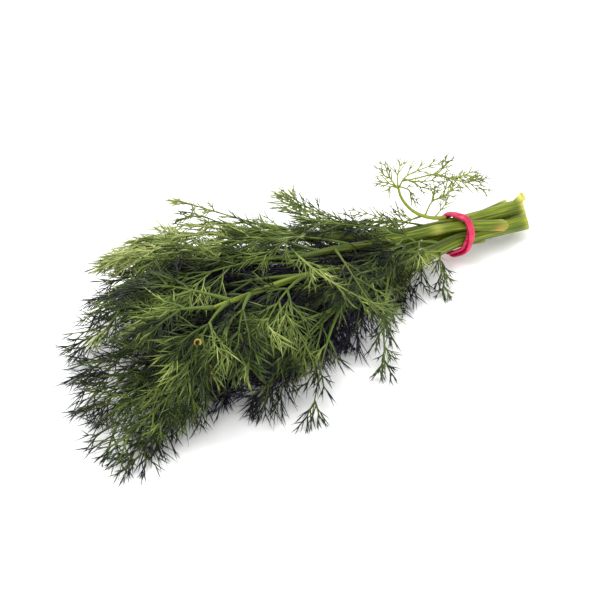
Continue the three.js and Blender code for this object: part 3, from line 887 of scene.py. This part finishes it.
STEM_SIDES = 40
STEM_CUTS = 90
RIM = 0.14  # width of the skin's rim at the cut end, as a share of the radius
RIM_WALL = 0.03  # width of the slope from the rim down to the pith
PITH_DEPTH = 0.9  # how deep the pith lies in the cut end
PITH_HOLLOW = 0.3  # how much deeper its middle lies, as a share of that
PITH_EDGE = 0.35  # width of the slope to that middle
END_RINGS = (0.25, 1, 2, 3.5)  # distances from the cut end of the rings that shape its flare
SLANT_AT = 0.6  # the side of the stem, in radians, to which its cut end slants
SLANT_LENGTH = 4  # how soon along the stem the slant is gone
RIB_HEIGHT = 0.045  # as a share of the radius
FLARE_LENGTH = 3.5
SCAR_LENGTH = 3
YELLOW_LENGTH = 2.6  # how far the skin is yellow from the cut end
TEAR_AT, TEAR_LENGTH = 2.2, 2.6
TEAR_SIDE, TEAR_WIDTH = -0.9, 1.1  # radians round the stem
THIN_FROM = 0.8  # share of the way from where the leafy end thins
THIN_LOSS = 0.25
POINT_FROM, POINT_SIZE = 0.995, 0.4  # its closed end
PITH_YELLOW, PITH_LENGTH = 0.8, 4
SHADE_FROM, SHADE_TO = 0.3, 0.8  # shares of the way between which the painted shade of the heap darkens a stem
OLDEST_HEAP_SHADE, LEAFWARD_HEAP_SHADE = 0.15, 0.6  # by how much the painted shade darkens it, on the stem with the oldest leaves and on the others

# What marks each stem: ribs, flare and slant of the cut end, how dark its painted shade is, how yellow
# where cut.
Marks = namedtuple("Marks", "ribs flare slant dark yellow")
STEM_MARKS = [
    Marks(11, 0.02, 0.5, 0.0, 0.35),
    Marks(9, 0.06, -0.9, 0.0, 0.2),
    Marks(8, 0.0, 0.3, 0.75, 0.2),
    Marks(9, 0.28, 0.4, 0.0, 0.8),
    Marks(12, 0.1, 0.8, 0.0, 0.6),
    Marks(8, 0.1, 0.6, 0.15, 0.5),
    Marks(9, 0.0, 0.4, 0.4, 0.3),
    Marks(8, 0.0, 0.4, 0.4, 0.3),
    Marks(7, 0.0, 0.3, 0.4, 0.3),
]
# Leaf scars and nodes, by row: distance from the cut end, how yellow, how much thicker.
SWELLINGS = {1: [(34, 0.3, 0.1), (63, 0.35, 0.12)], 0: [(60, 0.1, 0.06)], 4: [(30, 0.1, 0.05)]}
TORN = {1: 1.0, 5: 0.5}  # how torn the skin is beside the cut, by row

# The short side stalk that was cut off with the top stem and splays from its end.
STUB = [(35.4, 0.8, 19.6), (33, 1, 18.1), (29, 1.3, 16)]
STUB_MARKS = Marks(5, 0.3, 0.7, 0.0, 0.9)
STUB_RADIUS, STUB_LOSS = 1.75, 0.7  # at the cut end, and how much less it is at the other
STUB_TORN = 0.3


def cut_stem_shape(length):
    """A closed stem, standing on its cut end: a rim of skin round the sunken pith."""
    deselect()
    bpy.ops.mesh.primitive_cylinder_add(vertices=STEM_SIDES, radius=1, depth=1, location=(0, 0, 0.5))
    bpy.ops.object.mode_set(mode="EDIT")
    bpy.ops.mesh.select_mode(type="FACE")
    bpy.ops.mesh.select_all(action="DESELECT")
    shape = bmesh.from_edit_mesh(bpy.context.object.data)
    for face in shape.faces:
        face.select_set(len(face.verts) == STEM_SIDES and face.calc_center_median().z < 0.5)
    bmesh.update_edit_mesh(bpy.context.object.data)
    bpy.ops.mesh.inset(thickness=RIM)
    bpy.ops.mesh.inset(thickness=RIM_WALL, depth=-PITH_DEPTH / length)
    bpy.ops.mesh.inset(thickness=PITH_EDGE, depth=-PITH_HOLLOW * PITH_DEPTH / length)
    bpy.ops.mesh.select_mode(type="VERT")
    for near in END_RINGS:
        bpy.ops.mesh.select_all(action="SELECT")
        bpy.ops.mesh.bisect(plane_co=(0, 0, near / length), plane_no=(0, 0, 1))
    cut_across(STEM_CUTS)
    corners, faces = take_shape()
    corners[:, 2] += 0.5
    return corners, faces


def bump(value, middle, width):
    """1 at the middle, falling softly to nothing over the width."""
    return np.exp(-(((value - middle) / width) ** 2))


def skin_radius(u, walked, angle, width, marks, scars):
    """A stem's radius with its ribs, the flare at the cut end, the nodes and the thin leaf end."""
    ridge = 1 + RIB_HEIGHT * np.cos(angle * marks.ribs) ** 3
    radius = width(u) * ridge * (1 + marks.flare * np.exp(-walked / FLARE_LENGTH))
    for spot, _, share in scars:
        radius = radius * (1 + share * bump(walked, spot, SCAR_LENGTH))
    return radius * np.where(u > POINT_FROM, POINT_SIZE, 1 - THIN_LOSS * rise(u, THIN_FROM, 1))


def stem_wear_and_shade(u, walked, angle, reach, marks, scars, torn, heap_shade):
    """How yellow and how torn the stem is at every corner, and how dark its painted shade is."""
    skin = reach > 1 - RIM / 2
    rim = marks.yellow * bump(walked, 0, YELLOW_LENGTH)
    yellow = np.where(skin, rim, PITH_YELLOW * (walked < PITH_LENGTH))
    for spot, amount, _ in scars:
        yellow = np.maximum(yellow, amount * bump(walked, spot, SCAR_LENGTH))
    tear = torn * bump(walked, TEAR_AT, TEAR_LENGTH) * bump(angle, TEAR_SIDE, TEAR_WIDTH)
    # painted shade: darker towards the leaves, where the heap shades the stem, and all along on stems
    # set in the bundle's shade
    leafward = rise(u, SHADE_FROM, SHADE_TO) * heap_shade
    return np.column_stack([yellow, tear, np.maximum(marks.dark, leafward)])


def stem_piece(name, line, width, marks, torn, scars=(), heap_shade=0.0, node=None):
    """A stem along the line; width gives its radius for the share walked from the cut end."""
    whole = Lines([line], (0, 0, 1), 0)
    length = whole.size[0]
    corners, faces = cut_stem_shape(length)
    angle = np.arctan2(corners[:, 1], corners[:, 0])
    reach = np.hypot(corners[:, 0], corners[:, 1])
    u = corners[:, 2]
    walked = u * length
    shift = marks.slant * width(0) * np.cos(angle - SLANT_AT) * reach * np.exp(-walked / SLANT_LENGTH)
    who = np.zeros(len(u), int)
    at = np.clip(u + shift / length, 0, 1)
    along = whole.along(who, at)
    middle = whole.at(who, at) + along * np.minimum(walked + shift, 0)[:, None]
    across = unit(np.cross(np.array([0, 0, 1.0]), along))
    up = np.cross(along, across)
    radius = skin_radius(u, walked, angle, width, marks, scars)
    flat = np.column_stack([np.cos(angle), np.sin(angle)]) * (radius * reach)[:, None]
    place = middle + across * flat[:, :1] + up * flat[:, 1:]
    wear_and_shade = stem_wear_and_shade(u, walked, angle, reach, marks, scars, torn, heap_shade)
    part = (place, *face_loops(faces), np.column_stack([flat, walked]))
    return mesh_piece(name, [part], STEM_GREEN, node, wear_and_shade)


def make_stem(row):
    return stem_piece(
        f"dill_stem_{row + 1}",
        stem_line(row, 120),
        lambda share: stem_radius(row, share),
        STEM_MARKS[row],
        TORN.get(row, 0.0),
        SWELLINGS.get(row, ()),
        OLDEST_HEAP_SHADE if row in OLDEST else LEAFWARD_HEAP_SHADE,
        f"stem_{row + 1}",
    )


def make_stub():
    """The short cut side stalk, with no leaf scars and nothing in the heap."""
    line = smooth_line(STUB, 30)
    return stem_piece("dill_stub", line, lambda u: STUB_RADIUS - STUB_LOSS * u, STUB_MARKS, STUB_TORN)


for row in range(len(STEMS)):
    make_stem(row)
make_stub()

# ---- the rubber band ----

BAND_CUTS = 360
BAND_SIDES = 20
BAND_SOFTENING = 0.22  # radians over which the strand rounds the stems' corners
FLATNESS = 0.8  # below one, the strand's two faces are flatter than a circle's
SWELL = 0.56  # half the strand's thickness as a share of the given one, a little swollen
BAND_ROLL = 0.35  # radians by which the strand rolls on its way round
ROLL_WAVES, ROLL_START = 3, 0.6  # how often in two turns, and radians at their beginning


def soft_strand(turn):
    """The strand's middle, eased over the corners that the stems make."""
    turns = turn + BAND_SOFTENING * np.array([-1.5, -1, -0.5, 0, 0.5, 1, 1.5])
    weights = np.array([0.5, 1, 1.5, 1.8, 1.5, 1, 0.5])
    spots = [strand_middle(t) for t in turns]
    middles = np.array([middle for middle, _ in spots])
    outs = np.array([out for _, out in spots])
    return weights @ middles / weights.sum(), unit(weights @ outs)


def ring_faces(rings, sides):
    """The faces of a closed loop of rings."""
    faces = []
    for i in range(rings):
        after = (i + 1) % rings
        for k in range(sides):
            j = (k + 1) % sides
            faces.append((i * sides + k, i * sides + j, after * sides + j, after * sides + k))
    return faces


def make_band():
    """The strand, swept twice round the bundle."""
    turns = np.linspace(0, 4 * math.pi, BAND_CUTS, endpoint=False)
    spots = [soft_strand(t) for t in turns]
    line = np.array([m for m, _ in spots])
    outs = np.array([o for _, o in spots])
    along = unit(np.roll(line, -1, axis=0) - np.roll(line, 1, axis=0))
    sideways = unit(np.cross(along, outs))
    outs = np.cross(sideways, along)
    around = np.linspace(0, 2 * math.pi, BAND_SIDES, endpoint=False)
    wide = np.cos(around) * STRAND_WIDTH / 2
    thick = np.sign(np.sin(around)) * np.abs(np.sin(around)) ** FLATNESS * STRAND_THICKNESS * SWELL
    roll = BAND_ROLL * np.sin(turns * ROLL_WAVES / 2 + ROLL_START)
    places, paints = [], []
    for i, turn in enumerate(turns):
        c, d = math.cos(roll[i]), math.sin(roll[i])
        ring = (wide * c - thick * d)[:, None] * sideways[i] + (wide * d + thick * c)[:, None] * outs[i]
        places.append(line[i] + ring)
        paints.append(np.column_stack([wide, thick, np.full(BAND_SIDES, turn)]))
    part = (np.vstack(places), *face_loops(ring_faces(BAND_CUTS, BAND_SIDES)), np.vstack(paints))
    return mesh_piece("crimson_rubber_band", [part], RUBBER, "rubber_band")


make_band()

# ---- the sprig ----

SPRIG_SEED = 7
SPRIG_FACING = (-0.3, -0.5, 0.8)
SPRIG_GAP = 5.4  # from one pair of side twigs to the next
SPRIG_TONE = 0.6
SPRIG_STALK_TONE = 0.7
SPRIG_STALK_RADII = (1.0, 0.6)
BRANCH_RADII = (0.42, 0.24)
BRANCH_TONES = (0.45, 0.8)
SHORTEST_SPRIG_SIDE, SPRIG_SIDE_GROWTH = 5.4, 0.15
SHORTEST_SPRIG_THREAD, SPRIG_THREAD_GROWTH = 4.2, 0.25


def make_sprig():
    """The stalk, its branches and the side twigs and threads on them."""
    rng = np.random.default_rng(SPRIG_SEED)
    branches = [smooth_line(points, LOOSE_STEPS) for points in SPRIG_BRANCHES + SPRIG_TWIGS]
    stalk = smooth_line(SPRIG_STALK, 40)
    parts = [follow_line(STALK_ROD, stalk, SPRIG_FACING, *SPRIG_STALK_RADII, 0, SPRIG_STALK_TONE)]
    for branch in branches:
        tone = rng.uniform(*BRANCH_TONES)
        parts.append(follow_line(STALK_ROD, branch, SPRIG_FACING, *BRANCH_RADII, 1, tone))
    rows = Lines(branches, SPRIG_FACING, SPRIG_TONE)
    twigs = sprout(
        rng, rows, pairs_along(rows, SPRIG_GAP, 2, 8), SPRIG_SIDE_HABIT,
        lambda size, share: SHORTEST_SPRIG_SIDE + SPRIG_SIDE_GROWTH * size * (1.2 - share),
    )
    threads = sprout(
        rng, twigs, rng.integers(0, 2, len(twigs.size)), SPRIG_THREAD_HABIT,
        lambda size, share: SHORTEST_SPRIG_THREAD + size * SPRIG_THREAD_GROWTH,
    )
    parts.append(bend_copies(TWIG_ROD, twigs, 2, TWIG_TAPER))
    parts.append(bend_copies(THREAD_ROD, threads, 3, THREAD_TAPER))
    return mesh_piece("dill_sprig", parts, YOUNG_GREEN, "sprig")


make_sprig()

# ---- floor, light and camera, in metres ----

FLOOR_SIZE = 6.0
LIGHT_AT = (-0.35, 0.15, 1.1)
LIGHT_AIM = (-0.05, 0, 0)
LIGHT_SIZE = 0.6
LIGHT_POWER = 8
SKY_STRENGTH = 1.5
VIEW_TURN = -31  # degrees from the view along +Y; the camera stands to the left of it
VIEW_RISE = 38  # degrees above the surface
CAMERA_AT = np.array([-342.5, -423.4, 393.4])  # millimetres, in the bunch's own frame
FOCAL_LENGTH = 85  # millimetres, as is the sensor
SENSOR_WIDTH = 36
CLIP = (0.01, 20)


def make_floor():
    deselect()
    bpy.ops.mesh.primitive_plane_add(size=FLOOR_SIZE, location=(0, 0, 0))
    floor = bpy.context.object
    floor.name = "floor"
    floor.data.materials.append(WHITE_BOARD)


def make_light():
    """One soft round lamp high above the leafy end, a little to the far side."""
    lamp = bpy.data.lights.new("overhead", "AREA")
    lamp.shape = "DISK"
    lamp.size = LIGHT_SIZE
    lamp.energy = LIGHT_POWER
    light = bpy.data.objects.new("overhead", lamp)
    light.location = LIGHT_AT
    light.rotation_euler = (Vector(LIGHT_AIM) - Vector(LIGHT_AT)).to_track_quat("-Z", "Y").to_euler()
    bpy.context.scene.collection.objects.link(light)


def make_world():
    """Even white light from all round, as in a light tent."""
    world = bpy.data.worlds.new("studio")
    world.use_nodes = True
    background = world.node_tree.nodes["Background"]
    background.inputs["Color"].default_value = (1, 1, 1, 1)
    background.inputs["Strength"].default_value = SKY_STRENGTH
    bpy.context.scene.world = world


def make_camera():
    data = bpy.data.cameras.new("camera")
    data.lens = FOCAL_LENGTH
    data.sensor_width = SENSOR_WIDTH
    data.clip_start, data.clip_end = CLIP
    camera = bpy.data.objects.new("camera", data)
    turn, tilt = math.radians(VIEW_TURN), math.radians(VIEW_RISE)
    back = Vector((math.sin(turn) * math.cos(tilt), -math.cos(turn) * math.cos(tilt), math.sin(tilt)))
    camera.location = Vector((CAMERA_AT + SHIFT) * MM)
    camera.rotation_euler = (-back).to_track_quat("-Z", "Y").to_euler()
    bpy.context.scene.collection.objects.link(camera)
    bpy.context.scene.camera = camera


make_floor()
make_light()
make_world()
make_camera()
bpy.context.scene.view_settings.view_transform = "Standard"
